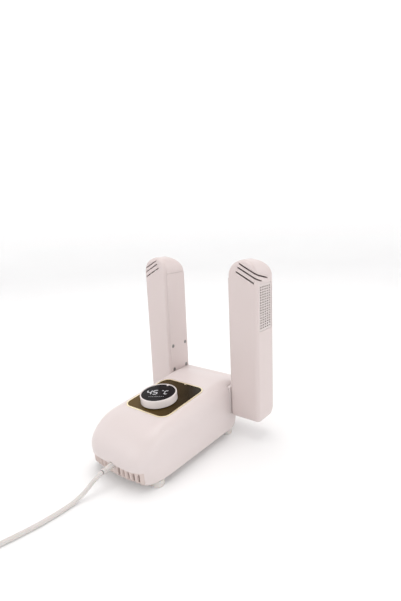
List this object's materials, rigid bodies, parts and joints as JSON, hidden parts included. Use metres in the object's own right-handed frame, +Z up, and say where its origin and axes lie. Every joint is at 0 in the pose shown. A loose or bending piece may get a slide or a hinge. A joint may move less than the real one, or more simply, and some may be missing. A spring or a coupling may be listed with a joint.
{
  "type": "shoe dryer",
  "caption": "Household folding shoe and boot dryer: loaf-shaped fan heater body with a display knob and two upright hollow arms that fold forward.",
  "frame": {"origin": "on the floor under the middle of the object without its cord, between the four feet", "axes": "+Z up, +Y to the rear where the arms stand, +X to the right seen from the front intake and cord"},
  "size_m": [0.2648, 0.4767, 0.277],
  "materials": {
    "casing_white": "satin gloss white ABS, faintly warm",
    "arm_white": "satin gloss white ABS, faintly warm",
    "knob_white": "glossy white, turned rim",
    "tray_white": "fine matt white moulding",
    "vent_white": "fine matt white moulding",
    "panel_black": "glossy brown-black printed panel",
    "lens_black": "glossy black display window",
    "trim_gold": "pale gold satin rim",
    "inner_plastic": "dark matt nylon",
    "circuit_board": "green solder mask",
    "heater_fins": "thin aluminium fins",
    "steel_parts": "plated steel",
    "foot_rubber": "soft translucent white rubber",
    "cord_white": "matt white PVC sheath",
    "tie_rubber": "black tie band",
    "pin_brass": "plated brass"
  },
  "bodies": {
    "base": {"upper_shell": "casing_white", "hub_housing": "casing_white", "base_tray": "tray_white", "intake_grille": "tray_white", "control_panel": "panel_black", "panel_bezel": "trim_gold", "encoder_body": "inner_plastic", "press_switch": "inner_plastic", "fan_frame": "inner_plastic", "heater_frame": "inner_plastic", "air_duct": "inner_plastic", "right_pivot_bush": "inner_plastic", "left_pivot_bush": "inner_plastic", "control_board": "circuit_board", "power_board": "circuit_board", "heater_core": "heater_fins", "fan_motor": "steel_parts", "thermal_cutoff": "steel_parts", "case_screw_1": "steel_parts", "case_screw_2": "steel_parts", "case_screw_3": "steel_parts", "case_screw_4": "steel_parts", "foot_1": "foot_rubber", "foot_2": "foot_rubber", "foot_3": "foot_rubber", "foot_4": "foot_rubber", "strain_relief": "cord_white", "cord_run": "cord_white", "cord_coil": "cord_white", "cord_tail": "cord_white", "plug_body": "cord_white", "coil_tie": "tie_rubber", "plug_pin_1": "pin_brass", "plug_pin_2": "pin_brass"},
    "right_arm": {"right_arm_shell": "arm_white", "right_arm_cover": "arm_white", "right_arm_vent": "vent_white", "right_pivot_collar": "inner_plastic", "right_retaining_ring": "steel_parts", "right_arm_screw_1": "steel_parts", "right_arm_screw_2": "steel_parts", "right_arm_screw_3": "steel_parts", "right_arm_screw_4": "steel_parts"},
    "left_arm": {"left_arm_shell": "arm_white", "left_arm_cover": "arm_white", "left_arm_vent": "vent_white", "left_pivot_collar": "inner_plastic", "left_retaining_ring": "steel_parts", "left_arm_screw_1": "steel_parts", "left_arm_screw_2": "steel_parts", "left_arm_screw_3": "steel_parts", "left_arm_screw_4": "steel_parts"},
    "knob_press": {"display_lens": "lens_black", "display_module": "inner_plastic", "display_stem": "inner_plastic"},
    "knob": {"knob_ring": "knob_white"},
    "fan": {"fan_impeller": "inner_plastic"}
  },
  "joints": [
    {"name": "right_arm_fold", "type": "hinge", "parent": "base", "child": "right_arm", "pos_m": [0.0865, 0.095, 0.056], "axis": [1, 0, 0], "range_deg": [0, 90]},
    {"name": "left_arm_fold", "type": "hinge", "parent": "base", "child": "left_arm", "pos_m": [-0.0865, 0.095, 0.056], "axis": [1, 0, 0], "range_deg": [0, 90]},
    {"name": "knob_push", "type": "slide", "parent": "base", "child": "knob_press", "axis": [0, 0.0889, -0.996], "range_m": [0, 0.0008], "stiffness_N_per_m": 2000},
    {"name": "knob_turn", "type": "hinge", "parent": "knob_press", "child": "knob", "pos_m": [0, -0.0245, 0.07858], "axis": [0, -0.0889, 0.996], "continuous": true},
    {"name": "fan_spin", "type": "hinge", "parent": "base", "child": "fan", "pos_m": [0, 0.02, 0.0423], "axis": [0, 1, 0], "continuous": true}
  ]
}
